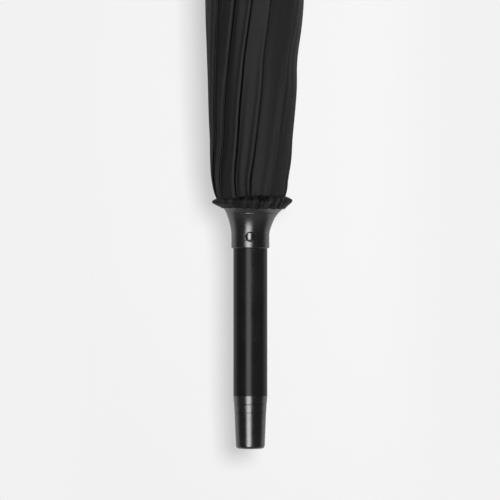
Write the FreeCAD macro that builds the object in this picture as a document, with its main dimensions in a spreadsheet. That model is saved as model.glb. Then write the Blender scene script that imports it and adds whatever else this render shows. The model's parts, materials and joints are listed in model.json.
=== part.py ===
"""Golf umbrella, closed and upright: handle at the bottom, ferrule at the top.

Millimetres. +Z runs up the shaft, and the origin is the centre of the handle's end face.
Eight ribs hinge on a wire ring in the crown notch, and eight stretchers hinge on a wire
ring in the runner. A stretcher is as long as the stretch of rib above its pivot, so the
runner stays on the shaft's axis at every opening angle.
"""
import FreeCAD, Part
import Sketcher
import math
import os

Vector = FreeCAD.Vector
Rotation = FreeCAD.Rotation
Placement = FreeCAD.Placement

RIBS = 8
FIRST_RIB_AZIMUTH = -153.0
STRAP_RIB = 6

DIMENSIONS = {
    # handle
    "grip_rad": 13.5,
    "grip_wall": 1.6,
    "cap_len": 42.0,
    "grip_top": 159.0,
    "cap_end_rad": 11.3,
    "cap_line_low": 28.6,
    "cap_line_high": 35.2,
    "cross_pin_z": 78.0,
    "cross_pin_rad": 2.0,
    "core_low": 54.0,
    "core_top": 163.0,
    # cup collar: heights, radii and how far its mouth leans to +X
    "collar_neck_rad": 15.1,
    "collar_neck_top": 171.0,
    "collar_low_z": 177.5,
    "collar_low_rad": 16.6,
    "collar_low_lean": 0.4,
    "collar_mid_z": 184.0,
    "collar_mid_rad": 19.1,
    "collar_mid_lean": 1.1,
    "collar_rim_z": 190.8,
    "collar_rim_rad": 24.2,
    "collar_rim_lean": 3.0,
    "cup_floor_z": 176.5,
    "cup_wall": 1.1,
    # turned lines round the collar: heights, how far the upper one leans, and their cutters
    "neck_line_z": 165.2,
    "neck_line_rad": 15.22,
    "flare_line_z": 186.6,
    "flare_line_rad": 20.8,
    "flare_line_lean": 1.6,
    "line_cut_rad": 0.4,
    "collar_edge_round": 0.9,
    # release button
    "button_z": 168.0,
    "button_rad": 4.0,
    "button_gap": 0.1,
    "button_stem_rad": 1.5,
    "button_stem_len": 4.5,
    "button_head_len": 2.3,
    "button_crown_rad": 8.0,
    "button_back": 9.8,
    "button_floor": 11.2,
    "button_coil_rad": 2.8,
    "button_wire_rad": 0.25,
    "button_coil_turns": 2.5,
    # shaft and crown
    "shaft_rad": 7.0,
    "shaft_wall": 1.5,
    "shaft_low": 60.0,
    "shaft_top": 935.0,
    "crown_z": 912.0,
    "hinge_rad": 11.0,
    "wire_rad": 0.6,
    "notch_rad": 13.2,
    "cap_disc_low": 919.5,
    "ferrule_low": 925.5,
    "ferrule_top": 968.0,
    "ferrule_tip_rad": 4.6,
    "tab_rad": 2.3,
    "tab_thick": 2.0,
    "slot_width": 2.6,
    # ribs and stretchers
    "rib_len": 713.0,
    "rib_rod_rad": 2.0,
    "rib_rod_offset": 5.0,
    "rib_rod_start": 8.0,
    "rib_rest_angle": 0.5,
    "tip_rad": 3.0,
    "tip_len": 14.0,
    "link_len": 345.0,
    "link_rod_rad": 1.5,
    "link_rod_start": 5.0,
    "clamp_rad": 3.0,
    "clamp_len": 14.0,
    "ear_rad": 2.8,
    "ear_thick": 1.2,
    "pin_rad": 0.9,
    # runner
    "runner_bore": 7.05,
    "runner_low_rad": 9.1,
    "runner_low_len": 50.0,
    "runner_up_rad": 8.6,
    "runner_up_len": 18.0,
    # springs
    "spring_rad": 8.0,
    "spring_wire_rad": 0.6,
    "spring_turns": 30.0,
    # canopy
    "gore_gap": 0.4,
    "tack_rad": 0.6,
    "tack_inset": 4.2,
    "strap_width": 22.0,
    "strap_thick": 1.2,
    "strap_len": 245.0,
    "strap_top": 470.0,
    "strap_radius": 39.6,
    "stud_rad": 6.0,
    "stud_thick": 1.6,
    "stud_inset": 11.0,
}

# The closed canopy's outer outline: (radius, height), from the hem's frill up to the crown.
GORE_OUTSIDE = [
    (28.0, 192.5), (32.0, 198.0), (29.6, 204.0), (30.4, 222.0), (32.8, 240.0), (34.9, 277.0),
    (35.6, 300.0), (36.8, 322.0), (38.6, 350.0), (39.2, 385.0), (39.2, 430.0), (37.6, 500.0),
    (35.2, 580.0), (31.4, 680.0), (26.8, 780.0), (22.4, 860.0), (19.8, 904.0),
]
# Its inner outline stays outside the ribs, their stretcher clamps and their tips.
GORE_INSIDE = [
    (18.6, 904.0), (22.4, 600.0), (22.4, 530.0), (24.2, 270.0), (25.6, 218.0), (25.6, 192.5),
]

doc = FreeCAD.newDocument("golf_umbrella")
sheet = doc.addObject("Spreadsheet::Sheet", "Dim")
for row, (alias, value) in enumerate(DIMENSIONS.items(), start=1):
    sheet.set(f"A{row}", str(value))
    sheet.setAlias(f"A{row}", alias)
doc.recompute()

subparts = []


def num(expression):
    """The value of an expression over the sheet's cells."""
    return float(sheet.evalExpression(expression))


def keep(obj, label):
    """Names an object as a sub-part, which is written out under its label."""
    obj.Label = label
    subparts.append(obj)
    return obj


def bind(obj, **sizes):
    """Binds an object's sizes to expressions over the sheet."""
    for name, expression in sizes.items():
        obj.setExpression(name, expression)
    return obj


# ---------------------------------------------------------------- PartDesign helpers

def new_body(name):
    return doc.addObject("PartDesign::Body", name)


def new_sketch(body, role, height=None):
    """A sketch on one of the body's origin planes, lifted by an expression if given."""
    sketch = body.newObject("Sketcher::SketchObject", body.Name + "_sketch")
    plane = [f for f in body.Origin.OriginFeatures if f.Role == role][0]
    sketch.AttachmentSupport = [(plane, "")]
    sketch.MapMode = "FlatFace"
    if height:
        sketch.setExpression("AttachmentOffset.Base.z", height)
    return sketch


def bound(sketch, kind, index, expression, vertex=1):
    """A distance from the sketch's origin to a vertex, bound to the sheet."""
    value = num(expression)
    constraint = sketch.addConstraint(
        Sketcher.Constraint(kind, -1, 1, index, vertex, value))
    if "Dim." in expression:
        sketch.setExpression(f"Constraints[{constraint}]", expression)


def outline(sketch, points):
    """A closed polygon whose corners are pairs of expressions."""
    corners = [Vector(num(x), num(y), 0) for x, y in points]
    count = len(corners)
    for i in range(count):
        sketch.addGeometry(Part.LineSegment(corners[i], corners[(i + 1) % count]), False)
    for i in range(count):
        sketch.addConstraint(Sketcher.Constraint("Coincident", i, 2, (i + 1) % count, 1))
    for i, (x, y) in enumerate(points):
        bound(sketch, "DistanceX", i, x)
        bound(sketch, "DistanceY", i, y)


def circles(sketch, *rings):
    """Circles given as (x, y, radius), each an expression."""
    for x, y, radius in rings:
        circle = Part.Circle(Vector(num(x), num(y), 0), Vector(0, 0, 1), num(radius))
        index = sketch.addGeometry(circle, False)
        bound(sketch, "DistanceX", index, x, 3)
        bound(sketch, "DistanceY", index, y, 3)
        constraint = sketch.addConstraint(Sketcher.Constraint("Radius", index, num(radius)))
        if "Dim." in radius:
            sketch.setExpression(f"Constraints[{constraint}]", radius)


def turned(name, points, angle=None):
    """A body turned about Z from a half outline of (radius, height) expressions."""
    body = new_body(name)
    sketch = new_sketch(body, "XZ_Plane")
    outline(sketch, points)
    revolution = body.newObject("PartDesign::Revolution", name + "_turned")
    revolution.Profile = sketch
    revolution.ReferenceAxis = (sketch, ["V_Axis"])
    if angle:
        revolution.Midplane = True
        bind(revolution, Angle=angle)
    else:
        revolution.Angle = 360
    doc.recompute()
    return body


def tube(name, outer, inner, low, high):
    """A round tube between two heights."""
    return turned(name, [(inner, low), (outer, low), (outer, high), (inner, high)])


def rounded(body, name, radius, wanted):
    """Fillets the edges of the body's tip for which wanted(edge) is true."""
    tip = body.Tip
    edges = [f"Edge{i}" for i, e in enumerate(tip.Shape.Edges, start=1) if wanted(e)]
    fillet = body.newObject("PartDesign::Fillet", name)
    fillet.Base = (tip, edges)
    fillet.Radius = radius
    doc.recompute()
    return fillet


def ring_edge(radius, height):
    """Picks round edges about Z of this radius at this height."""
    def wanted(edge):
        curve = edge.Curve
        return (isinstance(curve, Part.Circle) and abs(curve.Radius - radius) < 1e-3
                and abs(curve.Center.z - height) < 1e-3)
    return wanted


# ---------------------------------------------------------------- Part helpers

def cylinder(name, radius, length, placement=None):
    obj = bind(doc.addObject("Part::Cylinder", name), Radius=radius, Height=length)
    if placement:
        obj.Placement = placement
    return obj


def block(name, size, corner):
    """A box given by its size and lowest corner, as expressions in X, Y, Z."""
    obj = doc.addObject("Part::Box", name)
    bind(obj, Length=size[0], Width=size[1], Height=size[2])
    obj.Placement = Placement(Vector(*[num(c) for c in corner]), Rotation())
    return obj


def fuse(name, *shapes):
    obj = doc.addObject("Part::MultiFuse", name)
    obj.Shapes = list(shapes)
    obj.Refine = True
    return obj


def cut(name, base, tool):
    obj = doc.addObject("Part::Cut", name)
    obj.Base = base
    obj.Tool = tool
    return obj


def across(x, z, y_low):
    """A placement whose axis runs along +Y through (x, z), starting at y_low."""
    return Placement(Vector(x, y_low, z), Rotation(Vector(1, 0, 0), -90))


def coil(name, low, length, turns, radius, wire):
    """A round-wire coil spring standing on +Z."""
    path = Part.makeHelix(length / turns, length, radius)
    section = Part.Wire(Part.makeCircle(wire, Vector(radius, 0, 0), Vector(0, 1, 0)))
    obj = doc.addObject("Part::Feature", name)
    obj.Shape = Part.Wire(path.Edges).makePipeShell([section], True, True)
    obj.Placement = Placement(Vector(0, 0, low), Rotation())
    return obj


def bent_coil(name, length, turns, radius, wire, runs=12):
    """A small coil along +Z made of short straight runs of round wire, some to each turn."""
    count = int(turns * runs)
    points = []
    for i in range(count + 1):
        angle = 2 * math.pi * i / runs
        points.append(Vector(radius * math.cos(angle), radius * math.sin(angle),
                             length * i / count))
    section = Part.Wire(Part.makeCircle(wire, points[0], points[1] - points[0]))
    obj = doc.addObject("Part::Feature", name)
    obj.Shape = Part.makePolygon(points).makePipeShell([section], True, False, 1)
    return obj


# ---------------------------------------------------------------- handle

def make_end_cap():
    """The tapered metal cap, with two fine turned lines and a spigot inside the grip tube."""
    spigot = "Dim.grip_rad - Dim.grip_wall"
    body = turned("end_cap", [
        ("0", "0"), ("Dim.cap_end_rad", "0"),
        ("Dim.grip_rad - 1.4", "Dim.cap_len * 0.41"),
        ("Dim.grip_rad - 1.0", "Dim.cap_line_low - 0.2"),
        ("Dim.grip_rad - 1.25", "Dim.cap_line_low"),
        ("Dim.grip_rad - 0.9", "Dim.cap_line_low + 0.3"),
        ("Dim.grip_rad - 0.6", "Dim.cap_line_high - 0.3"),
        ("Dim.grip_rad - 0.85", "Dim.cap_line_high"),
        ("Dim.grip_rad - 0.5", "Dim.cap_line_high + 0.3"),
        ("Dim.grip_rad", "Dim.cap_len - 0.8"), ("Dim.grip_rad", "Dim.cap_len"),
        (spigot, "Dim.cap_len"), (spigot, "Dim.core_low - 1"), ("0", "Dim.core_low - 1"),
    ])
    rounded(body, "end_cap_round", 2.4, ring_edge(num("Dim.cap_end_rad"), 0))
    keep(body, "handle_end_cap")


def cross_pin_hole(name):
    """The cutter for the pin that crosses the handle's core and the shaft."""
    place = across(0, num("Dim.cross_pin_z"), -num("Dim.grip_rad"))
    return cylinder(name, "Dim.cross_pin_rad", "2 * Dim.grip_rad", place)


def make_grip():
    """The grip tube, the core that joins it to the shaft and the pin through both."""
    inner = "Dim.grip_rad - Dim.grip_wall"
    keep(tube("grip", "Dim.grip_rad", inner, "Dim.cap_len", "Dim.grip_top"), "handle_tube")
    core = turned("core", [
        ("0", "Dim.core_low"), (inner, "Dim.core_low"), (inner, "Dim.core_top"),
        ("Dim.shaft_rad", "Dim.core_top"), ("Dim.shaft_rad", "Dim.shaft_low"),
        ("0", "Dim.shaft_low"),
    ])
    keep(cut("core_cut", core, cross_pin_hole("core_pin_hole")), "handle_core")
    length = "2 * (Dim.grip_rad - Dim.grip_wall) - 1"
    place = across(0, num("Dim.cross_pin_z"), -num(length) / 2)
    keep(cylinder("pin", "Dim.cross_pin_rad", length, place), "handle_pin")


def turned_line(name, radius, height, lean):
    """The cutter for a fine line turned round the collar."""
    ring = bind(doc.addObject("Part::Torus", name), Radius1=radius, Radius2="Dim.line_cut_rad")
    ring.Placement = Placement(Vector(num(lean), 0, num(height)), Rotation())
    return ring


def make_collar():
    """The trumpet cup: a plain neck, a flare that leans to +X, and a dished inside."""
    body = new_body("collar")
    neck = new_sketch(body, "XY_Plane", "Dim.grip_top")
    circles(neck, ("0", "0", "Dim.collar_neck_rad"))
    pad = body.newObject("PartDesign::Pad", "collar_neck")
    pad.Profile = neck
    bind(pad, Length="Dim.collar_neck_top - Dim.grip_top")
    flare = [
        ("Dim.collar_neck_top", "0", "Dim.collar_neck_rad"),
        ("Dim.collar_low_z", "Dim.collar_low_lean", "Dim.collar_low_rad"),
        ("Dim.collar_mid_z", "Dim.collar_mid_lean", "Dim.collar_mid_rad"),
        ("Dim.collar_rim_z", "Dim.collar_rim_lean", "Dim.collar_rim_rad"),
    ]
    hollow = [
        ("Dim.cup_floor_z", "Dim.collar_low_lean", "Dim.collar_low_rad - 3"),
        ("Dim.collar_mid_z", "Dim.collar_mid_lean", "Dim.collar_mid_rad - Dim.cup_wall"),
        ("Dim.collar_rim_z", "Dim.collar_rim_lean", "Dim.collar_rim_rad - Dim.cup_wall"),
    ]
    for kind, sections in (("AdditiveLoft", flare), ("SubtractiveLoft", hollow)):
        rings = []
        for height, lean, radius in sections:
            ring = new_sketch(body, "XY_Plane", height)
            circles(ring, (lean, "0", radius))
            rings.append(ring)
        loft = body.newObject("PartDesign::" + kind, "collar_" + kind)
        loft.Profile = rings[0]
        loft.Sections = rings[1:]
        doc.recompute()
    rounded(body, "collar_edge", num("Dim.collar_edge_round"),
            ring_edge(num("Dim.collar_neck_rad"), num("Dim.grip_top")))
    bore = turned("collar_bore", [
        ("0", "Dim.grip_top - 1"), ("Dim.grip_rad - Dim.grip_wall", "Dim.grip_top - 1"),
        ("Dim.grip_rad - Dim.grip_wall", "Dim.core_top"),
        ("Dim.runner_low_rad + 0.5", "Dim.core_top"),
        ("Dim.runner_low_rad + 0.5", "Dim.cup_floor_z + 2"), ("0", "Dim.cup_floor_z + 2"),
    ])
    facing = Placement(Vector(0, 0, num("Dim.button_z")), Rotation(Vector(1, 0, 0), 90))
    well = cylinder("button_well", "Dim.button_rad + Dim.button_gap", "20", facing)
    floor = cylinder("button_well_floor", "Dim.button_rad + 2", "Dim.button_floor", facing)
    stem = cylinder("button_stem_hole", "Dim.button_stem_rad + Dim.button_gap", "13", facing)
    lines = [
        turned_line("neck_line", "Dim.neck_line_rad", "Dim.neck_line_z", "0"),
        turned_line("flare_line", "Dim.flare_line_rad", "Dim.flare_line_z", "Dim.flare_line_lean"),
    ]
    tool = fuse("collar_tool", bore, cut("button_well_cut", well, floor), stem, *lines)
    keep(cut("collar_cut", body, tool), "collar_cup")


def make_button():
    """The push button: domed head, stem and the small coil behind it. It points to -Y."""
    place = Placement(Vector(0, -num("Dim.button_back"), num("Dim.button_z")),
                      Rotation(Vector(1, 0, 0), 90))
    body = turned("button", [
        ("0", "0"), ("Dim.button_stem_rad", "0"), ("Dim.button_stem_rad", "Dim.button_stem_len"),
        ("Dim.button_rad", "Dim.button_stem_len"),
        ("Dim.button_rad", "Dim.button_stem_len + Dim.button_head_len"),
        ("0", "Dim.button_stem_len + Dim.button_head_len"),
    ])
    face = num("Dim.button_stem_len + Dim.button_head_len")
    body.Placement = place
    dome = bind(doc.addObject("Part::Sphere", "button_dome"), Radius="Dim.button_crown_rad")
    dome.Placement = Placement(
        Vector(0, num("Dim.button_crown_rad") - num("Dim.button_back") - face, num("Dim.button_z")),
        Rotation())
    domed = doc.addObject("Part::Common", "button_domed")
    domed.Base = body
    domed.Tool = dome
    keep(domed, "release_button")
    wire = num("Dim.button_wire_rad")
    ease = 0.05
    gap = num("Dim.button_back + Dim.button_stem_len - Dim.button_floor")
    spring = bent_coil("button_coil", gap - 2 * (wire + ease), num("Dim.button_coil_turns"),
                       num("Dim.button_coil_rad"), wire)
    spring.Placement = Placement(
        Vector(0, -num("Dim.button_floor") - wire - ease, num("Dim.button_z")),
        Rotation(Vector(1, 0, 0), 90))
    keep(spring, "button_spring")


# ---------------------------------------------------------------- shaft and crown

def rib_azimuth(index):
    return FIRST_RIB_AZIMUTH + 360.0 / RIBS * index


def slots(name, low, high, start):
    """Radial slots for the hinge tabs, one in line with each rib."""
    boxes = []
    for i in range(RIBS):
        slot = block(f"{name}_{i}", ("20", "Dim.slot_width", f"({high}) - ({low})"),
                     (start, "-Dim.slot_width / 2", low))
        turn = Rotation(Vector(0, 0, 1), rib_azimuth(i))
        slot.Placement = Placement(Vector(), turn).multiply(slot.Placement)
        boxes.append(slot)
    return boxes


def wire_ring(name, height, label):
    """The wire that the tabs hinge on, and the slightly larger ring that cuts its channel."""
    ring = bind(doc.addObject("Part::Torus", name), Radius1="Dim.hinge_rad", Radius2="Dim.wire_rad")
    ring.Placement = Placement(Vector(0, 0, num(height)), Rotation())
    keep(ring, label)
    channel = bind(doc.addObject("Part::Torus", name + "_channel"),
                   Radius1="Dim.hinge_rad", Radius2="Dim.wire_rad + 0.05")
    channel.Placement = ring.Placement
    return channel


def make_shaft():
    inner = "Dim.shaft_rad - Dim.shaft_wall"
    shaft = tube("shaft", "Dim.shaft_rad", inner, "Dim.shaft_low", "Dim.shaft_top")
    keep(cut("shaft_cut", shaft, cross_pin_hole("shaft_pin_hole")), "shaft_tube")


def make_crown():
    notch = tube("notch", "Dim.notch_rad", "Dim.shaft_rad", "Dim.crown_z - 4", "Dim.crown_z + 5")
    channel = wire_ring("crown_ring", "Dim.crown_z", "crown_wire")
    tools = slots("crown_slot", "Dim.crown_z - 5", "Dim.crown_z + 3.2",
                  "Dim.hinge_rad - Dim.tab_rad - 0.4")
    keep(cut("notch_cut", notch, fuse("notch_tool", channel, *tools)), "crown_notch")
    keep(turned("cap_disc", [
        ("Dim.shaft_rad", "Dim.cap_disc_low"), ("Dim.notch_rad + 2.3", "Dim.cap_disc_low"),
        ("Dim.notch_rad + 2.6", "Dim.cap_disc_low + 0.9"),
        ("Dim.notch_rad", "Dim.cap_disc_low + 3.5"),
        ("Dim.shaft_rad + 2.2", "Dim.ferrule_low"), ("Dim.shaft_rad", "Dim.ferrule_low"),
    ]), "top_cap")
    ferrule = turned("spike", [
        ("Dim.shaft_rad", "Dim.ferrule_low"), ("Dim.shaft_rad + 1.6", "Dim.ferrule_low"),
        ("Dim.shaft_rad + 1.6", "Dim.shaft_top"), ("Dim.shaft_rad + 0.9", "Dim.shaft_top + 1"),
        ("Dim.ferrule_tip_rad", "Dim.ferrule_top"), ("0", "Dim.ferrule_top"),
        ("0", "Dim.shaft_top"), ("Dim.shaft_rad", "Dim.shaft_top"),
    ])
    end = ring_edge(num("Dim.ferrule_tip_rad"), num("Dim.ferrule_top"))
    rounded(ferrule, "spike_round", 3.2, end)
    keep(ferrule, "ferrule")


def make_main_spring():
    """The long opening spring, stretched between the crown notch and the runner."""
    low = num("Dim.crown_z - 2 * Dim.link_len + Dim.runner_up_len")
    high = num("Dim.crown_z - 4")
    wire = num("Dim.spring_wire_rad")
    length = high - low - 2 * wire - 0.4
    spring = coil("spring", low + wire + 0.2, length, num("Dim.spring_turns"),
                  num("Dim.spring_rad"), wire)
    keep(spring, "main_spring")


def make_runner():
    pivot = "(Dim.crown_z - 2 * Dim.link_len)"
    low = pivot + " - Dim.runner_low_len"
    shoulder = pivot + " - 5.5"
    top = pivot + " + 4"
    body = turned("runner_body", [
        ("Dim.runner_bore", low), ("Dim.runner_low_rad", low), ("Dim.runner_low_rad", shoulder),
        ("Dim.notch_rad", shoulder), ("Dim.notch_rad", top), ("Dim.runner_up_rad", top),
        ("Dim.runner_up_rad", pivot + " + Dim.runner_up_len"),
        ("Dim.runner_bore", pivot + " + Dim.runner_up_len"),
    ])
    channel = wire_ring("runner_ring", pivot, "runner_wire")
    tools = slots("runner_slot", pivot + " - 2.6", pivot + " + 5",
                  "Dim.hinge_rad - Dim.tab_rad - 0.1")
    keep(cut("runner_cut", body, fuse("runner_tool", channel, *tools)), "runner")


# ---------------------------------------------------------------- ribs and stretchers

def rib_place(index, lean):
    """The frame of a rib's hinge: local X is outward, -Z runs along the rib."""
    turn = Rotation(Vector(0, 0, 1), rib_azimuth(index))
    tilt = Rotation(Vector(0, 1, 0), -lean)
    hinge = Vector(num("Dim.hinge_rad"), 0, num("Dim.crown_z"))
    return Placement(turn.multVec(hinge), turn.multiply(tilt))


def hinge_tab(name, x, z):
    """A round tab end about a pivot at (x, z), as thick as the tabs are."""
    return cylinder(name, "Dim.tab_rad", "Dim.tab_thick", across(x, z, -num("Dim.tab_thick") / 2))


def pivot_hole(name, radius, x, z):
    return cylinder(name, radius, "8", across(x, z, -4))


def make_rib(index):
    """A rod set outward of the line from hinge to pivot, with a flat hinge tab."""
    tag = f"rib{index}"
    body = new_body(tag + "_plate")
    sketch = new_sketch(body, "XZ_Plane")
    rod_in = "Dim.rib_rod_offset - Dim.rib_rod_rad"
    rod_out = "Dim.rib_rod_offset + Dim.rib_rod_rad"
    outline(sketch, [
        ("-Dim.tab_rad + 0.6", "-1.6"), ("Dim.tab_rad - 0.9", "Dim.tab_rad - 0.5"),
        (rod_out, "-Dim.rib_rod_start + 1"), (rod_out, "-Dim.rib_rod_start - 6"),
        (rod_in, "-Dim.rib_rod_start - 6"), (rod_in, "-Dim.rib_rod_start + 1"),
    ])
    pad = body.newObject("PartDesign::Pad", tag + "_plate_pad")
    pad.Profile = sketch
    pad.Midplane = True
    bind(pad, Length="Dim.tab_thick")
    rod = cylinder(tag + "_rod", "Dim.rib_rod_rad",
                   "Dim.rib_len - Dim.rib_rod_start - Dim.tip_len / 2",
                   Placement(Vector(num("Dim.rib_rod_offset"), 0,
                                    -num("Dim.rib_len - Dim.tip_len / 2")), Rotation()))
    solid = fuse(tag + "_solid", body, rod, hinge_tab(tag + "_tab", 0, 0))
    rib = cut(tag, solid, pivot_hole(tag + "_hole", "Dim.wire_rad + 0.1", 0, 0))
    rib.Placement = rib_place(index, num("Dim.rib_rest_angle"))
    keep(rib, f"rib_{index + 1}")


def make_rib_fittings(index):
    """The tip, the stretcher clamp with its two ears, and the clamp's pivot pin."""
    tag = f"fit{index}"
    offset = num("Dim.rib_rod_offset")
    pivot = -num("Dim.link_len")
    half = num("Dim.clamp_len") / 2
    sleeve = cylinder(tag + "_sleeve", "Dim.clamp_rad", "Dim.clamp_len",
                      Placement(Vector(offset, 0, pivot - half), Rotation()))
    wide = "Dim.slot_width + 2 * Dim.ear_thick"
    web = block(tag + "_web", ("Dim.rib_rod_offset", wide, "2 * Dim.ear_rad"),
                ("0", "-(" + wide + ") / 2", "-Dim.link_len - Dim.ear_rad"))
    ears = cylinder(tag + "_ears", "Dim.ear_rad", wide, across(0, pivot, -num(wide) / 2))
    gap = block(tag + "_gap", ("Dim.rib_rod_offset - Dim.rib_rod_rad + 3.8", "Dim.slot_width",
                               "Dim.clamp_len + 2"),
                ("-3.9", "-Dim.slot_width / 2", "-Dim.link_len - Dim.clamp_len / 2 - 1"))
    bore = cylinder(tag + "_bore", "Dim.rib_rod_rad", "Dim.clamp_len + 2",
                    Placement(Vector(offset, 0, pivot - half - 1), Rotation()))
    pin_hole = pivot_hole(tag + "_pin_hole", "Dim.pin_rad", 0, pivot)
    clamp = cut(tag + "_clamp", fuse(tag + "_clamp_solid", sleeve, web, ears),
                fuse(tag + "_clamp_tool", gap, bore, pin_hole))
    pin_len = num(wide) + 0.8
    pin = cylinder(tag + "_pin", "Dim.pin_rad", wide + " + 0.8", across(0, pivot, -pin_len / 2))
    tip_body = turned(tag + "_tip", [
        ("0", "0"), ("Dim.tip_rad - 0.6", "0"), ("Dim.tip_rad", "1.2"), ("Dim.tip_rad", "4.5"),
        ("Dim.rib_rod_rad + 0.6", "Dim.tip_len"), ("Dim.rib_rod_rad", "Dim.tip_len"),
        ("Dim.rib_rod_rad", "Dim.tip_len / 2"), ("0", "Dim.tip_len / 2"),
    ])
    tip_body.Placement = Placement(Vector(offset, 0, -num("Dim.rib_len")), Rotation())
    group = doc.addObject("Part::Compound", tag)
    group.Links = [clamp, pin, tip_body]
    group.Placement = rib_place(index, num("Dim.rib_rest_angle"))
    keep(group, f"rib_fittings_{index + 1}")


def make_stretcher(index):
    """A thin rod with a flat tab at the rib's clamp and another at the runner's wire."""
    tag = f"link{index}"
    start = num("Dim.link_rod_start")
    rod = cylinder(tag + "_rod", "Dim.link_rod_rad", "Dim.link_len - 2 * Dim.link_rod_start",
                   Placement(Vector(0, 0, start - num("Dim.link_len")), Rotation()))
    length = "Dim.link_rod_start + 4"
    width = "2 * Dim.link_rod_rad"
    corner = ("-Dim.link_rod_rad", "-Dim.tab_thick / 2")
    upper = block(tag + "_upper", (width, "Dim.tab_thick", length), (*corner, "-(" + length + ")"))
    lower = block(tag + "_lower", (width, "Dim.tab_thick", length), (*corner, "-Dim.link_len"))
    foot = -num("Dim.link_len")
    solid = fuse(tag + "_solid", rod, upper, lower, hinge_tab(tag + "_tab_a", 0, 0),
                 hinge_tab(tag + "_tab_b", 0, foot))
    holes = fuse(tag + "_holes", pivot_hole(tag + "_hole_a", "Dim.pin_rad + 0.06", 0, 0),
                 pivot_hole(tag + "_hole_b", "Dim.wire_rad + 0.1", 0, foot))
    stretcher = cut(tag, solid, holes)
    lean = num("Dim.rib_rest_angle")
    on_rib = rib_place(index, lean).multVec(Vector(0, 0, foot))
    turn = Rotation(Vector(0, 0, 1), rib_azimuth(index))
    stretcher.Placement = Placement(on_rib, turn.multiply(Rotation(Vector(0, 1, 0), lean)))
    keep(stretcher, f"stretcher_{index + 1}")


# ---------------------------------------------------------------- canopy

def make_gore(index):
    """One eighth of the closed canopy's bundle of folded cloth, centred on its rib."""
    points = [(str(r), str(z)) for r, z in GORE_OUTSIDE + GORE_INSIDE]
    body = turned(f"gore{index}", points, "360 / 8 - Dim.gore_gap")
    body.Placement = Placement(Vector(), Rotation(Vector(0, 0, 1), rib_azimuth(index)))
    keep(body, f"gore_{index + 1}")


def make_hem_tack(index):
    """The thread that sews a gore's far hem corner to the next rib's tip."""
    place = rib_place((index + 1) % RIBS, num("Dim.rib_rest_angle"))
    local = Placement(Vector(num("Dim.rib_rod_offset - Dim.tack_inset"), 0,
                             -num("Dim.rib_len - 2")), Rotation())
    tack = cylinder(f"tack{index}", "Dim.tack_rad", "4", place.multiply(local))
    keep(tack, f"hem_tack_{index + 1}")


def make_strap():
    """The tie strap, hanging open down the back from where it is sewn on."""
    turn = Rotation(Vector(0, 0, 1), rib_azimuth(STRAP_RIB - 1))
    bottom = num("Dim.strap_top - Dim.strap_len")
    strap = block("strap", ("Dim.strap_thick", "Dim.strap_width", "Dim.strap_len"),
                  ("Dim.strap_radius", "-Dim.strap_width / 2", "Dim.strap_top - Dim.strap_len"))
    strap.Placement = Placement(Vector(), turn).multiply(strap.Placement)
    keep(strap, "tie_strap")
    stud = cylinder("stud", "Dim.stud_rad", "Dim.stud_thick", Placement(
        Vector(num("Dim.strap_radius + Dim.strap_thick"), 0, bottom + num("Dim.stud_inset")),
        Rotation(Vector(0, 1, 0), 90)))
    stud.Placement = Placement(Vector(), turn).multiply(stud.Placement)
    keep(stud, "strap_stud")


# ---------------------------------------------------------------- build, check, write

def build():
    make_end_cap()
    make_grip()
    make_collar()
    make_button()
    make_shaft()
    make_crown()
    make_main_spring()
    make_runner()
    for index in range(RIBS):
        make_rib(index)
        make_rib_fittings(index)
        make_stretcher(index)
        make_gore(index)
        make_hem_tack(index)
    make_strap()
    doc.recompute()


def check():
    for obj in doc.Objects:
        if "Invalid" in obj.State or "Error" in obj.State:
            raise RuntimeError(f"{obj.Label} did not compute: {obj.State}")
    for obj in subparts:
        if obj.Shape.isNull() or not obj.Shape.isValid():
            raise RuntimeError(f"{obj.Label} has no valid shape")
        if not obj.Shape.Solids:
            raise RuntimeError(f"{obj.Label} has no solid")


def write():
    os.makedirs("parts", exist_ok=True)
    for obj in subparts:
        obj.Shape.exportStep(f"parts/{obj.Label}.step")
        box = obj.Shape.BoundBox
        print(f"{obj.Label}: {len(obj.Shape.Solids)} solids, {obj.Shape.Volume:.1f} mm3,"
              f" z {box.ZMin:.1f} to {box.ZMax:.1f}")


build()
check()
write()
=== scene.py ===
import json
import math

import bpy
import numpy as np
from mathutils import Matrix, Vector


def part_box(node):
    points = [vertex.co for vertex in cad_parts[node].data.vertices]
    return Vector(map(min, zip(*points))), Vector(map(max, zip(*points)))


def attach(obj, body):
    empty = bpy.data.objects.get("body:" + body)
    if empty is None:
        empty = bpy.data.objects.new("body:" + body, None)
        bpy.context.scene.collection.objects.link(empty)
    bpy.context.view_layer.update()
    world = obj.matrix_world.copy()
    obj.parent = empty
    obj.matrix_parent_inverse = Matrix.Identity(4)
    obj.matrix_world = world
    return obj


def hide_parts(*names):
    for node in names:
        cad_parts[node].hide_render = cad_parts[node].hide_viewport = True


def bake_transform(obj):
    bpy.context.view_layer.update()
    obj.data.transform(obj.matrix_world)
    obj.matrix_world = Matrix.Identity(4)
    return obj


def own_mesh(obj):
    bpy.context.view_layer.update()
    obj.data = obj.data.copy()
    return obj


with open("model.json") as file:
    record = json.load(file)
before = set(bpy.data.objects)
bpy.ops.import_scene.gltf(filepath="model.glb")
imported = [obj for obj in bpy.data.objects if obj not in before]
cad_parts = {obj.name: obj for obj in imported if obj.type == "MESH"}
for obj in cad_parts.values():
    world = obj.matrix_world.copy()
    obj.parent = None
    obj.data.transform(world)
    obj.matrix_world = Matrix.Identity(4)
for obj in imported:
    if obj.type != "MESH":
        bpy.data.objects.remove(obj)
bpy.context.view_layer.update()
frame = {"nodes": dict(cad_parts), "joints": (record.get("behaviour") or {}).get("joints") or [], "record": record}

# A golf umbrella, closed and upright. Metres, +Z up the shaft, the camera looks along +Y.
# Outlines, gathers and the strap are in millimetres and in degrees round Z from +X. Outlines
# are lists of (height, value) points.
MM = 0.001
UP = np.array([0, 0, 1.0])
SEED = 7
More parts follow.
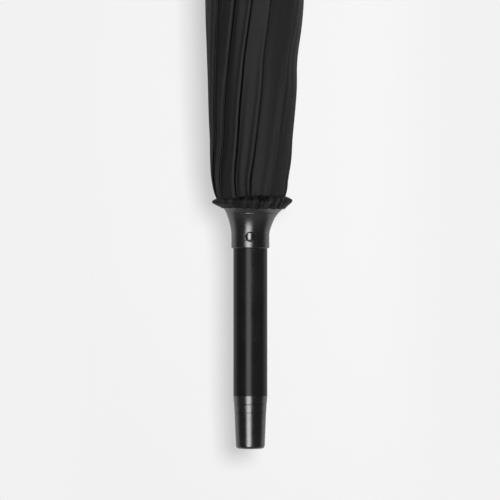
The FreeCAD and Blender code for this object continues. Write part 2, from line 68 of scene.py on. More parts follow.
ANY_PHASE = 6.3
RIBS = 8
FRONT = -90.0

# ------------------------------------------------------------------ places from the frame

JOINTS = {j["name"]: j for j in frame["joints"]}
SWINGS = ["canopy_open"] + [f"rib_{k}_swing" for k in range(2, RIBS + 1)]
REST_LEAN = math.radians(0.5)
RIB_LENGTH = 0.713
SEAM_OFFSET = 0.0076


def unit(v):
    v = np.asarray(v, float)
    return v / np.linalg.norm(v)


class Rib:
    """A rib's hinge, directions and swing, from its joint."""

    def __init__(self, number):
        joint = JOINTS[SWINGS[(number - 1) % RIBS]]
        self.hinge = np.array(joint["pos_m"])
        self.axis = unit(joint["axis"])
        self.swing = math.radians(joint["range_deg"][1])
        self.out = unit([self.hinge[0], self.hinge[1], 0.0])
        self.side = np.array([-self.out[1], self.out[0], 0.0])

    def along(self, angle):
        return math.sin(angle) * self.out - math.cos(angle) * UP

    def normal(self, angle):
        return math.cos(angle) * self.out + math.sin(angle) * UP

    def seam(self, distance, angle, lift=SEAM_OFFSET):
        """The point over this rib at a distance from its hinge, on the cloth's seam."""
        return self.hinge + distance * self.along(angle) + lift * self.normal(angle)

    def closed(self, points):
        """Points of the open canopy, brought back to where the closed rib carries them."""
        v = points - self.hinge
        c, s = math.cos(-self.swing), math.sin(-self.swing)
        k = self.axis
        return self.hinge + v * c + np.cross(k, v) * s + np.multiply.outer(v @ k, k) * (1 - c)


# ------------------------------------------------------------------ shape helpers

def smooth(points, at):
    """A smooth curve through (place, value) points, read at the given places."""
    x, y = np.array(points, float).T
    slope = np.gradient(y, x)
    at = np.clip(at, x[0], x[-1])
    i = np.clip(np.searchsorted(x, at) - 1, 0, len(x) - 2)
    width = x[i + 1] - x[i]
    f = (at - x[i]) / width
    return (y[i] * (1 + 2 * f) * (1 - f) ** 2 + y[i + 1] * f * f * (3 - 2 * f)
            + width * slope[i] * f * (1 - f) ** 2 + width * slope[i + 1] * f * f * (f - 1))


def step(low, high, at):
    f = np.clip((at - low) / (high - low), 0, 1)
    return f * f * (3 - 2 * f)


def grid(name, points, uv, closed=False):
    """A quad mesh over rows and columns of points, with a UV map in metres of cloth."""
    rows, cols = points.shape[:2]
    index = np.arange(rows * cols).reshape(rows, cols)
    right = np.roll(index, -1, axis=1) if closed else index[:, 1:]
    left = index if closed else index[:, :-1]
    quads = np.stack([left[:-1], right[:-1], right[1:], left[1:]], axis=-1).reshape(-1, 4)
    mesh = bpy.data.meshes.new(name)
    mesh.vertices.add(rows * cols)
    mesh.vertices.foreach_set("co", points.astype(np.float32).ravel())
    mesh.loops.add(quads.size)
    mesh.loops.foreach_set("vertex_index", quads.ravel().astype(np.int32))
    mesh.polygons.add(len(quads))
    mesh.polygons.foreach_set("loop_start", np.arange(0, quads.size, 4, dtype=np.int32))
    mesh.polygons.foreach_set("loop_total", np.full(len(quads), 4, np.int32))
    mesh.polygons.foreach_set("use_smooth", np.ones(len(quads), bool))
    layer = mesh.uv_layers.new(name="cloth")
    layer.data.foreach_set("uv", uv.reshape(-1, 2)[quads.ravel()].astype(np.float32).ravel())
    mesh.update()
    mesh.validate()
    obj = bpy.data.objects.new(name, mesh)
    bpy.context.scene.collection.objects.link(obj)
    return obj


def tone(obj, values):
    """Marks each point lighter or darker: painted highlights along folds, painted shade in creases and under hems.
    """
    layer = obj.data.attributes.new("tone", "FLOAT", "POINT")
    layer.data.foreach_set("value", np.asarray(values, np.float32).ravel())


def polar(radius, degrees, height):
    """Points in metres from radii and heights in millimetres."""
    a = np.radians(degrees)
    return np.stack([radius * np.cos(a), radius * np.sin(a), height + 0 * a], axis=-1) * MM


def thicken(obj, thickness):
    modifier = obj.modifiers.new("thickness", "SOLIDIFY")
    modifier.thickness = thickness
    modifier.offset = 0
    return obj


def dress(obj, slot):
    """Gives a piece the material of its slot."""
    obj.data.materials.clear()
    obj.data.materials.append(MATERIALS[slot])
    return obj


# ------------------------------------------------------------------ materials

class Nodes:
    """The node tree of a material or a world, with short calls to add and join nodes."""

    def __init__(self, owner):
        self.owner = owner
        owner.use_nodes = True
        self.tree = owner.node_tree
        self.shader = self.tree.nodes.get("Principled BSDF")

    def add(self, kind, inputs=(), **settings):
        node = self.tree.nodes.new("ShaderNode" + kind)
        for key, value in settings.items():
            setattr(node, key, value)
        for key, value in dict(inputs).items():
            if isinstance(value, bpy.types.NodeSocket):
                self.tree.links.new(value, node.inputs[key])
            else:
                node.inputs[key].default_value = value
        return node

    def join(self, source, target):
        self.tree.links.new(source, target)

    def put(self, **values):
        for key, value in values.items():
            socket = self.shader.inputs[key.replace("_", " ")]
            if isinstance(value, bpy.types.NodeSocket):
                self.join(value, socket)
            else:
                socket.default_value = value

    def math(self, operation, a, b=0.0):
        return self.add("Math", {0: a, 1: b}, operation=operation).outputs[0]

    def ramp(self, factor, stops):
        node = self.add("ValToRGB", {"Fac": factor})
        elements = node.color_ramp.elements
        while len(elements) < len(stops):
            elements.new(0.5)
        for element, (place, value) in zip(elements, stops):
            element.position = place
            element.color = (*value, 1) if hasattr(value, "__len__") else (value,) * 3 + (1,)
        return node.outputs["Color"]

    def coordinates(self, scale, kind="Object"):
        if kind == "cloth":
            source = self.add("UVMap", uv_map="cloth").outputs[0]
        else:
            source = self.add("TexCoord").outputs[kind]
        return self.add("Mapping", {"Vector": source, "Scale": scale}).outputs[0]

    def fade(self, value, start, end, low=0.0, high=1.0, kind="SMOOTHSTEP"):
        """Low up to the start, high from the end on, and a ramp between them."""
        inputs = {"Value": value, "From Min": start, "From Max": end, "To Min": low,
                  "To Max": high}
        return self.add("MapRange", inputs, interpolation_type=kind).outputs[0]

    def noise(self, scale, detail=3.0, vector=None, roughness=0.5):
        vector = vector or self.coordinates((1, 1, 1))
        inputs = {"Vector": vector, "Scale": scale, "Detail": detail, "Roughness": roughness}
        return self.add("TexNoise", inputs).outputs["Fac"]

    def bump(self, height, distance, strength=1.0, below=None):
        inputs = {"Height": height, "Distance": distance, "Strength": strength}
        if below:
            inputs["Normal"] = below
        return self.add("Bump", inputs).outputs["Normal"]


# A wave texture of scale 1 repeats every 0.314 m; the twill's ribs are 1.1 mm apart.
WAVE_PERIOD = 0.314
TWILL = 0.0011
WEAVE_SHARE, SLUB_SHARE, BROAD_SHARE = 0.55, 0.15, 0.3


def cloth_material(name, dark, light):
    """Fine twill polyester: diagonal ribs, a looser crosswise slub and a soft sheen."""
    n = Nodes(bpy.data.materials.new(name))
    flat = n.coordinates((1, 1, 1), "cloth")
    turned = n.add("Mapping", {"Vector": flat, "Rotation": (0, 0, math.radians(35))}).outputs[0]
    weave = n.add("TexWave", {"Vector": turned, "Scale": WAVE_PERIOD / TWILL, "Distortion": 0.4,
                              "Detail": 1.0, "Detail Scale": 2.0}).outputs["Fac"]
    crosswise = n.add("Mapping", {"Vector": turned, "Scale": (1, 0.12, 1)}).outputs[0]
    slub = n.noise(900.0, 2.0, crosswise)
    lengthwise = n.add("Mapping", {"Vector": flat, "Scale": (1, 0.35, 1)}).outputs[0]
    broad = n.noise(26.0, 4.0, lengthwise)
    mixed = n.math("ADD", n.math("MULTIPLY", weave, WEAVE_SHARE),
                   n.math("ADD", n.math("MULTIPLY", slub, SLUB_SHARE),
                          n.math("MULTIPLY", broad, BROAD_SHARE)))
    woven = n.ramp(mixed, [(0.25, dark), (0.75, light)])
    # Painted shade and painted highlights: each piece's tone darkens or lightens the weave's colour.
    painted_light = n.math("ADD", n.add("Attribute", attribute_name="tone").outputs["Fac"], 1.0)
    colour = n.add("VectorMath", {0: woven, 1: painted_light}, operation="MULTIPLY").outputs[0]
    relief = n.math("ADD", weave, n.math("MULTIPLY", slub, 0.6))
    fine = n.bump(relief, 0.00016, 0.7)
    soft = n.bump(broad, 0.0006, 0.35, fine)
    rough = n.ramp(mixed, [(0.2, 0.62), (0.8, 0.5)])
    n.put(Base_Color=colour, Roughness=rough, Normal=soft)
    n.put(Sheen_Weight=0.03, Sheen_Roughness=0.35, Sheen_Tint=(0.85, 0.87, 0.9, 1))
    n.put(Specular_IOR_Level=0.3)
    return n.owner


METAL_GRAIN = (40, 40, 900)
METAL_RELIEF = 0.000005


def metal_material(name, dark, light, roughness):
    """Polished metal with faint turned lines, cloudy tone and tiny handling marks."""
    n = Nodes(bpy.data.materials.new(name))
    lines = n.noise(1.0, 3.0, n.coordinates(METAL_GRAIN))
    cloud = n.noise(55.0, 4.0)
    specks = n.noise(1400.0, 1.0)
    colour = n.ramp(cloud, [(0.3, dark), (0.7, light)])
    mottle = n.math("ADD", n.math("MULTIPLY", cloud, 0.9), n.math("MULTIPLY", lines, 0.1))
    rough = n.ramp(mottle, [(0.3, roughness * 0.94), (0.7, roughness * 1.08)])
    fine = n.bump(n.math("ADD", lines, n.math("MULTIPLY", specks, 0.3)), METAL_RELIEF, 0.8)
    n.put(Base_Color=colour, Roughness=rough, Metallic=1.0, Normal=fine)
    return n.owner


def plastic_material(name, dark, light, roughness, scale=700.0, depth=0.00003, shine=0.5):
    """Moulded, drawn or lacquered: a very fine orange peel and slight tone changes."""
    n = Nodes(bpy.data.materials.new(name))
    peel = n.noise(scale, 2.0)
    cloud = n.noise(38.0, 4.0)
    colour = n.ramp(cloud, [(0.3, dark), (0.7, light)])
    rough = n.ramp(cloud, [(0.3, roughness * 0.85), (0.7, roughness * 1.2)])
    n.put(Base_Color=colour, Roughness=rough, Normal=n.bump(peel, depth, 0.6))
    n.put(Specular_IOR_Level=shine)
    return n.owner


MATERIALS = {
    "canopy_cloth": cloth_material("canopy_cloth", (0.0068, 0.0069, 0.0074),
                                   (0.022, 0.0224, 0.0235)),
    "thread": plastic_material("thread", 0.012, 0.02, 0.75, 2400.0, 0.0001),
    "black_plastic": plastic_material("black_plastic", 0.012, 0.019, 0.42),
    "fibreglass": plastic_material("fibreglass", 0.014, 0.024, 0.3, 500.0),
    "shaft_coating": plastic_material("shaft_coating", 0.012, 0.018, 0.25, 400.0),
    "grip_black": plastic_material("grip_black", 0.007, 0.0105, 0.25, 300.0, 0.00001, 0.42),
    "inner_plastic": plastic_material("inner_plastic", 0.2, 0.26, 0.5),
    "gunmetal": metal_material("gunmetal", (0.21, 0.211, 0.216), (0.27, 0.271, 0.277), 0.27),
    "button_metal": metal_material("button_metal", (0.23, 0.231, 0.236), (0.29, 0.291, 0.297), 0.2),
    "steel": metal_material("steel", (0.45, 0.45, 0.46), (0.58, 0.58, 0.59), 0.3),
}

SLOT_OF = {s["node"]: s["material_slot"] for s in frame["record"]["subparts"]}


def dress_frame():
    """Every CAD node that stays gets the detailed material of its slot."""
    for name, obj in frame["nodes"].items():
        obj.data.materials.clear()
        obj.data.materials.append(MATERIALS[SLOT_OF[name]])


# ------------------------------------------------------------------ closed canopy

# The bundle of wrapped gores: half width, and how far its middle leans to +X.
HALF_WIDTH = [(190, 25.4), (198, 26.5), (201, 27.3), (205, 28.4), (213, 29.7), (221, 30.7),
              (230, 31.5), (245, 32.1), (265, 33.5), (285, 34.5), (305, 34.8), (318, 35.6),
              (332, 37.0), (350, 38.2), (385, 39.0), (430, 39.2), (500, 37.6), (580, 35.2),
              (680, 31.4), (780, 26.8), (860, 22.4), (904, 18.9), (919, 14.6)]
LEAN = [(190, 1.0), (201, 0.8), (205, 0.5), (213, -0.1), (230, 0.2), (255, 0.7), (285, 1.2),
        (308, 0.75), (332, 1.75), (348, 2.4), (385, 2.6), (480, 1.5), (600, 0.0), (920, 0.0)]
INSIDE = [(190, 25.9), (218, 25.8), (270, 24.5), (530, 22.7), (600, 22.7), (904, 17.6),
          (919, 13.2)]
# How many neighbouring gores each gore's folded half passes under.
TUCK = [(190, 3.0), (222, 3.6), (250, 5.0), (280, 6.4), (500, 6.4), (650, 4.4), (780, 2.7),
        (860, 1.6), (904, 1.3), (920, 1.25)]
# Azimuth of each gore's fold at the heights below, by rib, going round from the left.
FOLD_HEIGHTS = (205, 237, 277, 308, 356, 700)
FOLDS = {
    8: (-171, -158, -152, -146, -139, -163),
    1: (-148, -137, -131, -123, -114, -118),
    2: (-118, -112, -107, -101, -93, -73),
    3: (-93, -86, -80, -76, -71, -28),
    4: (-57, -51, -47, -39, -34, 17),
    5: (-14, -13, -9, -3, 5, 62),
    6: (52, 58, 64, 69, 75, 107),
    7: (124, 130, 136, 142, 150, 152),
}
ORDER = list(FOLDS)
# The fold's two thicknesses lie this far apart, and its outer face rolls this much proud.
FOLD_GAP = 0.7
FOLD_ROLL = 0.7
FOLD_ROLL_WIDTH = 1.5
# From one layer to the next, the bundle's radius steps by this much.
STEP_LEAST, STEP_MOST = 0.25, 1.5
# Across one gore, from the fold on its left to its own: a deep crease beside one, full at
# the other. The layers that nobody sees lie below the crease.
SWELL = [(0, 0.1), (0.02, -2.0), (0.055, -2.2), (0.1, -0.7), (0.2, -0.4), (0.45, 0.0),
         (0.75, 0.2), (0.93, 0.6), (1, 0.1)]
HIDDEN_SWELL = -2.2
# The same way across: painted highlights at the folds, painted shade in the creases, and half as strong above
# these heights.
PAINTED_LIGHT_FADE = (600, 900)
FOLD_PAINTED_LIGHT = [(0, 0.25), (0.012, -0.8), (0.055, -0.75), (0.1, -0.3), (0.25, -0.1), (0.6, 0.0),
             (0.9, 0.1), (0.97, 0.3), (1, 0.25)]
# The visible hem rises from the left, in millimetres about HEM, which evens out higher up.
# Each layer further in hangs a little lower, to four layers down.
HEM = 201.0
HEM_EVEN = 24.0
LAYER_DROP = 0.3
HEM_RISE = [(-180, -2.5), (-160, -3.6), (-144, -3.4), (-123, -2.1), (-94, 0.0), (-50, -0.2),
            (-10, 0.1), (60, -1.5), (180, -2.5)]
# Soft creases: how many, their waves round the bundle, their turn in degrees per millimetre
# up, and the depth of one that has a single wave. They die out at the crown.
RIPPLES = 7
RIPPLE_WAVES = (7, 34)
RIPPLE_TURN = 0.152
RIPPLE_TURN_SPREAD = (0.7, 1.35)
RIPPLE_SWELL_EVERY = (18, 45)
RIPPLE_DEPTH = 0.42
CROWN_FROM, CROWN_TO = 860, 915
# Gathers just above the hem, and the bump of one rib tip: azimuth, height, radius, depth.
PUCKER_REACH, PUCKER_DEPTH = 9.0, 0.2
TIP_BUMP = (-136.5, 200.2, 1.9, 1.5)
MM_PER_DEGREE = 0.47


def fold_places(heights):
    """The azimuths of all folds at each height, as rows of eight."""
    return np.stack([smooth(list(zip(FOLD_HEIGHTS, FOLDS[k])), heights) for k in ORDER], axis=1)


def azimuth_at(place, folds):
    """Azimuth of a place counted in gores round the bundle; whole numbers are the folds."""
    turn = np.floor(place / RIBS).astype(int)
    inside = place - turn * RIBS
    low = np.floor(inside).astype(int)
    ring = np.concatenate([folds, folds[:, :1] + 360], axis=1)
    rows = np.arange(len(folds))[:, None]
    a, b = ring[rows, low], ring[rows, low + 1]
    return a + (b - a) * (inside - low) + 360.0 * turn


def ripple(azimuth, height):
    """Long soft creases that run with the folds, the same for every layer at one place."""
    rng = np.random.default_rng(SEED)
    total = 0.0
    for _ in range(RIPPLES):
        waves = rng.integers(*RIPPLE_WAVES)
        drift = rng.uniform(*RIPPLE_TURN_SPREAD) * RIPPLE_TURN
        every = rng.uniform(*RIPPLE_SWELL_EVERY)
        swell = 1 + 0.5 * np.sin(height / every + rng.uniform(0, ANY_PHASE))
        phase = np.radians(waves * (azimuth - drift * height)) + rng.uniform(0, ANY_PHASE)
        total = total + RIPPLE_DEPTH / waves ** 0.5 * swell * np.sin(phase)
    return total


def pucker(azimuth, height):
    """Small gathers just above the hem, and the bump that a rib's tip makes in the cloth."""
    near = np.exp(-((height - HEM) / PUCKER_REACH) ** 2)
    wave = np.sin(np.radians(23 * azimuth) + 0.13 * height) + np.sin(np.radians(37 * azimuth))
    turn, level, radius, depth = TIP_BUMP
    away = np.hypot((azimuth - turn) * MM_PER_DEGREE, height - level) / radius
    return PUCKER_DEPTH * near * wave + depth * np.exp(-away ** 2)


def pleat_rows():
    """Heights of the mesh's rows: close together low down, where the folds are seen."""
    fine = np.arange(0, 160, 1.6)
    coarse = np.linspace(162, HALF_WIDTH[-1][0] - HEM, 78)
    return np.concatenate([fine, coarse]) + HEM


def make_pleat(number):
    """One gore folded in two and wound round the bundle under the gores before it."""
    base = pleat_rows()[:, None]
    folds = fold_places(base[:, 0])
    own = ORDER.index(number) + RIBS
    half = smooth(HALF_WIDTH, base)
    tuck = smooth(TUCK, base)
    gap = FOLD_GAP * step(0, 8, half - smooth(INSIDE, base))
    rise = np.minimum((half - smooth(INSIDE, base) - gap) / tuck, STEP_MOST)
    rise = np.maximum(rise, STEP_LEAST)

    # Columns from a gore's own fold back to its neighbour's: closest at the folds' creases.
    seen = np.concatenate([np.linspace(0, 0.12, 10), np.linspace(0.15, 0.78, 17),
                           np.linspace(0.8, 1.0, 21), np.linspace(1.03, 1.15, 4)])
    hidden = np.linspace(0, 1, 27)[1:]
    ones = np.ones_like(base)
    back = np.concatenate([seen * ones, seen[-1] + hidden * (tuck - seen[-1])], axis=1)
    turn = np.linspace(90, -90, 9)[1:-1]
    places = np.concatenate([own - back[:, ::-1], own * ones * np.ones(len(turn)), own - back],
                            axis=1)
    outer = back.shape[1]

    azimuth = azimuth_at(places, folds)
    fold = azimuth_at(own * ones, folds)
    arc = np.radians(fold - azimuth) * half
    roll = FOLD_ROLL * np.exp(-(arc / FOLD_ROLL_WIDTH) ** 2) * gap / FOLD_GAP
    layer = np.where(np.arange(places.shape[1]) < outer, roll, -gap)
    bend = slice(outer, outer + len(turn))
    radius = (FOLD_ROLL * gap / FOLD_GAP + gap) / 2
    layer[:, bend] = radius * np.sin(np.radians(turn)) + radius - gap
    azimuth[:, bend] += np.degrees(radius * np.cos(np.radians(turn)) / half)

    depth = rise * (own - places)
    drop = smooth(HEM_RISE, (azimuth + 180) % 360 - 180)
    drop = drop - LAYER_DROP * np.minimum(own - places, 4)
    height = base + drop * (1 - step(HEM, HEM + HEM_EVEN, base))
    swell = smooth(SWELL, places - np.floor(places))
    under = step(1.0, 1.1, own - places)
    swell = (swell + (HIDDEN_SWELL - swell) * under) * np.minimum(rise, 1)
    wave = ripple(azimuth, height) + pucker(azimuth, height)
    wave = wave * (1 - step(CROWN_FROM, CROWN_TO, height))
    radial = half + rise / 2 - depth + layer + swell + wave
    points = polar(radial, azimuth, height)
    points[..., 0] += smooth(LEAN, height) * MM

    across = np.concatenate([-arc[:, :outer], arc[:, outer:]], axis=1) * MM
    uv = np.stack([across, height * MM], axis=-1)
    pleat = grid(f"pleat_{number}", points, uv)
    # Painted highlights at each fold and painted shade in its crease, half as strong near the crown.
    strength = 1 - 0.5 * step(*PAINTED_LIGHT_FADE, height)
    tone(pleat, smooth(FOLD_PAINTED_LIGHT, places - np.floor(places)) * strength)
    return pleat


# ------------------------------------------------------------------ gathered inner hems

# Each gather: azimuth from the front at its two sides, slant from top to bottom, outward
# push and the height of its lower edge.
GATHERS = [
    (-112, -14, 0, 0.0, 190.6),
    (-24, 26, -6, -0.3, 190.3),
    (16, 66, -12, 0.2, 190.1),
    (52, 70, -10, 1.0, 190.4),
    (58, 77, -11, 1.6, 190.3),
    (65, 84, -12, 2.6, 190.6),
    (72, 91, -12, 3.6, 191.0),
    (79, 99, -13, 4.4, 191.4),
    (86, 108, -12, 4.2, 191.8),
    (100, 152, -6, 0.6, 190.6),
    (144, 204, -6, 0.0, 190.6),
    (196, 254, -6, 0.2, 190.6),
]
GATHER_TOP = 204.0
GATHER_THICK = 0.3
# A gather runs from inside the outer hem, out to its fullest and in over the cup's rim. On
# the left it stands out further, and on the right it swings out higher up.
PUFF_TOP, PUFF_NECK, PUFF_FULL, PUFF_MEAN = 24.6, 25.0, 28.3, 28.0
LEFT_MORE, RIGHT_SWING = 1.3, 0.22
RIM_RADIUS, RIM_LEAN = 24.8, 3.0
# Ruffles across a gather: degrees to a wave, and the depths of the large and small ones.
RUFFLE_SPAN = 17.0
RUFFLE_DEPTH, SMALL_RUFFLE_DEPTH = 0.8, 0.35
EDGE_TUCK = 1.3
TURN = 6.28


def make_gathers():
    """The inner layers' hems, bunched in the mouth of the cup below the outer hem."""
    across = np.linspace(0, 1, 56)[None, :]
    down = np.linspace(0, 1, 22)[:, None]
    rng = np.random.default_rng(SEED)
    pieces = []
    for number, (start, end, slant, push, low) in enumerate(GATHERS, start=1):
        width = end - start
        azimuth = FRONT + start + width * across + slant * (down - 0.5)
        waves = TURN * max(1.0, width / RUFFLE_SPAN) * across
        phase = rng.uniform(0, ANY_PHASE, 3)
        ruffle = RUFFLE_DEPTH * np.sin(waves + 1.5 * down + phase[0])
        ruffle = ruffle + SMALL_RUFFLE_DEPTH * np.sin(2.3 * waves - 2.2 * down + phase[1])
        edge = EDGE_TUCK * (1 - np.clip(np.sin(math.pi * across), 0, 1) ** 0.35)
        right = np.cos(np.radians(azimuth))
        left = np.clip(-right, 0, 1) ** 3
        swing = RIGHT_SWING * step(0.35, 0.85, right)
        full = PUFF_FULL + push + LEFT_MORE * left
        rim = RIM_RADIUS + RIM_LEAN * right
        radius = (PUFF_TOP + (PUFF_NECK - PUFF_TOP) * step(0, 0.25, down)
                  + (full - PUFF_NECK) * step(0.36 - swing, 0.62 - 0.4 * swing, down)
                  - (full - rim) * step(0.6 - 0.4 * swing + 0.06 * left, 1.05, down))
        radius = radius + (ruffle - edge) * np.sin(math.pi * np.clip(down, 0.05, 0.97))
        bottom = low + 0.3 * np.sin(waves + phase[2]) - 0.3 * right
        height = GATHER_TOP + (bottom - GATHER_TOP) * down
        points = polar(radius, azimuth, height)
        uv = np.stack([np.radians(azimuth) * PUFF_MEAN * MM, height * MM], axis=-1)
        piece = thicken(grid(f"hem_gather_{number}", points, uv), GATHER_THICK * MM)
        # Painted shade where a gather's sides tuck under, in the ruffles' hollows and just under the outer hem;
        # painted highlights on the ruffles' crests.
        sides = 0.85 * (step(0.2, 0.05, across) + step(0.88, 0.96, across))
        folds = 0.5 * np.clip(ruffle, -1, 1) - 0.15
        under = 0.8 * step(0.52 - swing, 0.38 - swing, down)
        tone(piece, np.clip(folds - sides - under, -0.85, 0.4))
        pieces.append(piece)
    return pieces


# ------------------------------------------------------------------ open canopy

# The blend runs this far sideways from the rib; sag and scallop are shares of the rib.
SPREAD_RUN = 0.0175
OPEN_SAG = 0.014
OPEN_SCALLOP = 0.012
HALVINGS = 40


def make_panel(number):
    """The gore as open cloth between two ribs; closed, it lies packed inside the bundle."""
    rib, other = Rib(number), Rib(number + 1)
    angle = REST_LEAN + rib.swing
    slide = JOINTS[f"gore_{number}_spread"]
    shift = unit(slide["axis"]) * slide["range_m"][1]
    across = np.linspace(0, 1, 41)[None, :, None]
    reach = np.linspace(0.002, RIB_LENGTH, 64)[:, None, None]
    bow = 4 * across * (1 - across)
    reach = reach * (1 - OPEN_SCALLOP * bow * (reach / RIB_LENGTH) ** 3)
    near = rib.seam(reach, angle)
    far = other.seam(reach, angle)
    inward = -unit(rib.normal(angle) + other.normal(angle))
    sag = OPEN_SAG * RIB_LENGTH * bow * (reach / RIB_LENGTH) ** 1.5
    opened = near + (far - near) * across + sag * inward
    wanted = rib.closed(opened)

    # The blend moves a point by step(t) of the slide, where t is its place along the run.
    sideways = (wanted - rib.hinge) @ rib.side
    t_low, t_high = np.zeros_like(sideways), np.ones_like(sideways)
    for _ in range(HALVINGS):
        t = (t_low + t_high) / 2
        ahead = t * SPREAD_RUN + step(0, 1, t) * (shift @ rib.side) < sideways
        t_low, t_high = np.where(ahead, t, t_low), np.where(ahead, t_high, t)
    share = step(0, 1, t)
    points = wanted - share[..., None] * shift
    width = np.linalg.norm(far - near, axis=-1)
    uv = np.stack([(across[..., 0] - 0.5) * width, reach[..., 0] + 0 * width], axis=-1)
    panel = grid(f"panel_{number}", points, uv)
    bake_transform(panel)
    return panel


def make_canopy():
    gathers = make_gathers()
    for piece in gathers:
        dress(piece, "canopy_cloth")
        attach(piece, "shaft")
        crumple(piece)
    # The flat gore is a triangle: two ribs long, and as wide as two open tips stand apart.
    for number in range(1, RIBS + 1):
        pleat = dress(make_pleat(number), "canopy_cloth")
        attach(pleat, "shaft")
        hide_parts(f"gore_{number}")
        crumple(pleat)
        panel = dress(make_panel(number), "canopy_cloth")


def crumple(piece):
    """Gives the piece a mesh of its own."""
    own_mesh(piece)


# ------------------------------------------------------------------ strap and spring

STRAP_RIB = Rib(6)
STRAP_HALF, STRAP_THICK, STRAP_RADIUS = 11.0, 1.0, 40.0
# The strap hangs closer to the cloth lower down, waves a little, and has bound edges.
STRAP_CLOSER, STRAP_WAVE = 0.9, 0.35
BINDING_PLACE, BINDING_WIDTH, BINDING_PROUD = 9.6, 0.9, 0.25
# The press stud, as (radius, height) points from its middle out.
STUD_PROFILE = [(0.0, 1.5), (1.6, 1.5), (2.4, 1.25), (2.6, 0.9), (3.4, 0.8), (5.2, 0.7),
                (5.8, 0.4), (5.9, 0.0), (5.7, -0.6)]
STUD_SUNK = 0.4
SPRING_TURNS, SPRING_RADIUS, SPRING_WIRE = 30, 8.0 * MM, 0.6 * MM


def make_strap():
    """The tie strap down the back, with its bound edges."""
    rib = STRAP_RIB
    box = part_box("tie_strap")
    low, high = box[0][2] / MM, box[1][2] / MM
    turn = math.degrees(math.atan2(rib.out[1], rib.out[0]))
    across = np.linspace(-STRAP_HALF, STRAP_HALF, 23)[None, :]
    height = np.linspace(low, high, 120)[:, None]
    hang = (high - height) / (high - low)
    radius = STRAP_RADIUS - STRAP_CLOSER * step(0, 1, hang)
    radius = radius + STRAP_WAVE * np.sin(hang * 9.0) * hang
    edge = (np.abs(across) - BINDING_PLACE) / BINDING_WIDTH
    radius = radius + BINDING_PROUD * np.exp(-edge ** 2)
    azimuth = turn + np.degrees(across / STRAP_RADIUS)
    points = polar(radius, azimuth, height)
    uv = np.stack([across * MM + 0 * height, height * MM + 0 * across], axis=-1)
    strap = thicken(grid("strap_band", points, uv), STRAP_THICK * MM)
    dress(strap, "canopy_cloth")
    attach(strap, "rib_6")
    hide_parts("tie_strap")
    flatten(strap)


def make_stud():
    """The strap's press stud."""
    rib = STRAP_RIB
    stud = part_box("strap_stud")
    centre = (np.array(stud[0]) + np.array(stud[1])) / 2
    ring = np.radians(np.linspace(0, 360, 48, endpoint=False))[None, :]
    radius, lift = np.array(STUD_PROFILE).T[..., None] * MM
    lift = lift - STUD_SUNK * MM
    around = np.cos(ring)[..., None] * rib.side + np.sin(ring)[..., None] * UP
    points = centre + radius[..., None] * around + (lift + 0 * ring)[..., None] * rib.out
    press = grid("strap_press_stud", points, points[..., 1:], closed=True)
    dress(press, "steel")
    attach(press, "rib_6")
    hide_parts("strap_stud")
    flatten(press)


def flatten(piece):
    """Gives the strap or its stud a mesh of its own."""
    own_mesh(piece)


def make_spring():
    """The opening spring round the shaft."""
    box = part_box("main_spring")
    low, high = box[0][2] + SPRING_WIRE, box[1][2] - SPRING_WIRE
    sides, per_turn = 10, 28
    place = np.linspace(0, SPRING_TURNS * 2 * math.pi, SPRING_TURNS * per_turn + 1)[:, None]
    ring = np.radians(np.linspace(0, 360, sides, endpoint=False))[None, :]
    radius = SPRING_RADIUS + SPRING_WIRE * np.cos(ring)
    height = low + (high - low) * place / place[-1] + SPRING_WIRE * np.sin(ring)
    points = np.stack([radius * np.cos(place), radius * np.sin(place), height + 0 * radius],
                      axis=-1)
    uv = np.stack([place * SPRING_RADIUS + 0 * ring, ring * SPRING_WIRE + 0 * place], axis=-1)
    spring = grid("opening_spring", points, uv, closed=True)
    dress(spring, "steel")
    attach(spring, "shaft")
    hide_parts("main_spring")
    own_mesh(spring)


# ------------------------------------------------------------------ stage, light, camera

PAPER = 0.887
# What the object mirrors: from, to and the brightness there, by direction, behind and below.
WORLD_BEHIND = (-0.1, 0.6, 0.05, 0.55)
WORLD_BELOW = (-0.2, -0.7, 0.0, 0.13)
# The backdrop's own tone and glow, and how much of the papers the object mirrors. The floor
# only glows, as pale as the surroundings.
BACKDROP_TONE, BACKDROP_GLOW = 0.31, 0.56
MIRRORED_SHARE = 0.45
FLOOR_LEVEL, FLOOR_HALF = -0.05, 4.0
BACKDROP_PLACE, BACKDROP_LOW = 0.045, -0.049
LIGHT_AIM = (0.0, 0.0, 0.16)
BACK_AIM = (0.0, 0.0, 0.4)
VIEW_LOW, VIEW_HIGH = -0.0409, 0.3561
VIEW_MIDDLE = (-0.00027, 0.1576)
CAMERA_BACK = 3.0
# The backdrop fades into the pale surroundings over these distances from the middle and up.
BACKDROP_FADE_SIDE = (0.09, 0.17)
BACKDROP_FADE_TOP = (0.358, 0.4)


def stage_card(name, corners, material):
    mesh = bpy.data.meshes.new(name)
    mesh.from_pydata([tuple(c) for c in corners], [], [(0, 1, 2, 3)])
    card = bpy.data.objects.new(name, mesh)
    bpy.context.scene.collection.objects.link(card)
    card.data.materials.append(material)
    return card


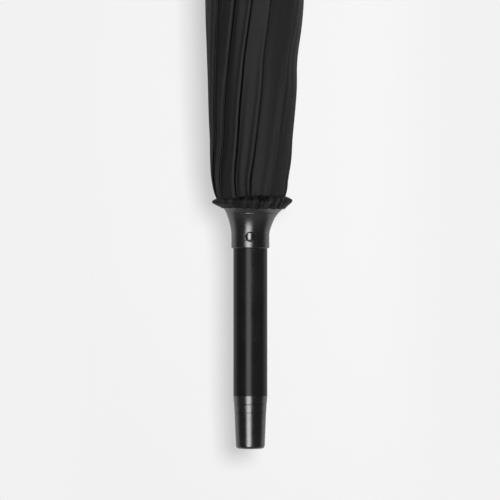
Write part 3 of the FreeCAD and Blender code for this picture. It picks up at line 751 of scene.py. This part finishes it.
def paper_material(name, diffuse, glow, one_sided=False):
    """Glowing paper for the camera, partly for mirrored light, and dim for all other light."""
    n = Nodes(bpy.data.materials.new(name))
    n.put(Base_Color=(diffuse, diffuse, diffuse, 1), Roughness=1.0, Specular_IOR_Level=0.0)
    n.put(Emission_Color=(1, 1, 1, 1), Emission_Strength=glow)
    dim = n.add("BsdfDiffuse", {"Color": (0.1, 0.1, 0.1, 1)}).outputs[0]
    path = n.add("LightPath").outputs
    mirrored = n.math("MULTIPLY", path["Is Glossy Ray"], MIRRORED_SHARE)
    seen = n.math("MAXIMUM", path["Is Camera Ray"], mirrored)
    mixed = n.add("MixShader", {0: seen, 1: dim, 2: n.shader.outputs[0]})
    if one_sided:
        clear = n.add("BsdfTransparent").outputs[0]
        behind = n.add("NewGeometry").outputs["Backfacing"]
        place = n.add("SeparateXYZ", {0: n.coordinates((1, 1, 1))}).outputs
        beside = n.fade(n.math("ABSOLUTE", place["X"]), *BACKDROP_FADE_SIDE)
        above = n.fade(place["Z"], *BACKDROP_FADE_TOP)
        gone = n.math("MAXIMUM", behind, n.math("MAXIMUM", beside, above))
        mixed = n.add("MixShader", {0: gone, 1: mixed.outputs[0], 2: clear})
    n.join(mixed.outputs[0], n.tree.nodes["Material Output"].inputs["Surface"])
    return n.owner


def make_stage():
    """A wide plain floor, and a backdrop close behind that takes the object's soft shadow."""
    paper = paper_material("floor_paper", 0.0, PAPER)
    corners = [(-1, -1), (1, -1), (1, 1), (-1, 1)]
    places = [(x * FLOOR_HALF, y * FLOOR_HALF, FLOOR_LEVEL) for x, y in corners]
    floor = stage_card("floor", places, paper)
    floor.visible_glossy = False
    paper = paper_material("back_paper", BACKDROP_TONE, BACKDROP_GLOW, one_sided=True)
    side, top = BACKDROP_FADE_SIDE[1], BACKDROP_FADE_TOP[1]
    places = [(x * side, BACKDROP_PLACE, top if y > 0 else BACKDROP_LOW) for x, y in corners]
    backdrop = stage_card("backdrop", places, paper)
    backdrop.visible_diffuse = False
    backdrop.visible_shadow = False


def make_world():
    """Pale paper all round; what the object mirrors is dark on the side it is seen from."""
    world = bpy.data.worlds.new("studio")
    bpy.context.scene.world = world
    n = Nodes(world)
    direction = n.add("TexCoord").outputs["Generated"]
    towards = n.add("SeparateXYZ", {0: direction}).outputs
    behind = n.fade(towards["Y"], *WORLD_BEHIND)
    below = n.fade(towards["Z"], *WORLD_BELOW, kind="LINEAR")
    mirrored = n.math("MAXIMUM", behind, below)
    seen = n.add("LightPath").outputs["Is Camera Ray"]
    colour = n.add("Mix", {0: seen, 2: mirrored, 3: PAPER}).outputs[0]
    n.join(colour, n.tree.nodes["Background"].inputs["Color"])


def area_light(name, place, aim, size, power, height=None):
    data = bpy.data.lights.new(name, "AREA")
    data.energy = power
    data.size = size
    if height:
        data.shape = "RECTANGLE"
        data.size_y = height
    light = bpy.data.objects.new(name, data)
    bpy.context.scene.collection.objects.link(light)
    light.location = place
    towards = unit(np.array(aim) - np.array(place))
    back = -towards
    right = unit(np.cross(UP, back))
    up = np.cross(back, right)
    light.matrix_world = [[*axis, 0] for axis in (right, up, back)] + [[*place, 1]]
    return light


def make_lights():
    """A key light that casts the shadow, a tall strip for the highlights, and a back light."""
    key = area_light("key", (0.36, -1.6, 0.34), LIGHT_AIM, size=0.6, power=32.0)
    key.visible_glossy = False
    strip = area_light("strip", (-0.34, -1.7, 0.3), LIGHT_AIM, size=0.95, power=19.6, height=2.6)
    strip.visible_diffuse = False
    area_light("back", (-0.1, 1.9, 0.9), BACK_AIM, size=1.2, power=34.0)


def make_camera():
    data = bpy.data.cameras.new("camera")
    camera = bpy.data.objects.new("camera", data)
    bpy.context.scene.collection.objects.link(camera)
    camera.location = (VIEW_MIDDLE[0], -CAMERA_BACK, VIEW_MIDDLE[1])
    camera.rotation_euler = (math.radians(90), 0, 0)
    data.lens = data.sensor_width * CAMERA_BACK / (VIEW_HIGH - VIEW_LOW)
    bpy.context.scene.camera = camera
    bpy.context.scene.view_settings.view_transform = "Standard"


dress_frame()
make_canopy()
make_strap()
make_stud()
make_spring()
make_stage()
make_world()
make_lights()
make_camera()
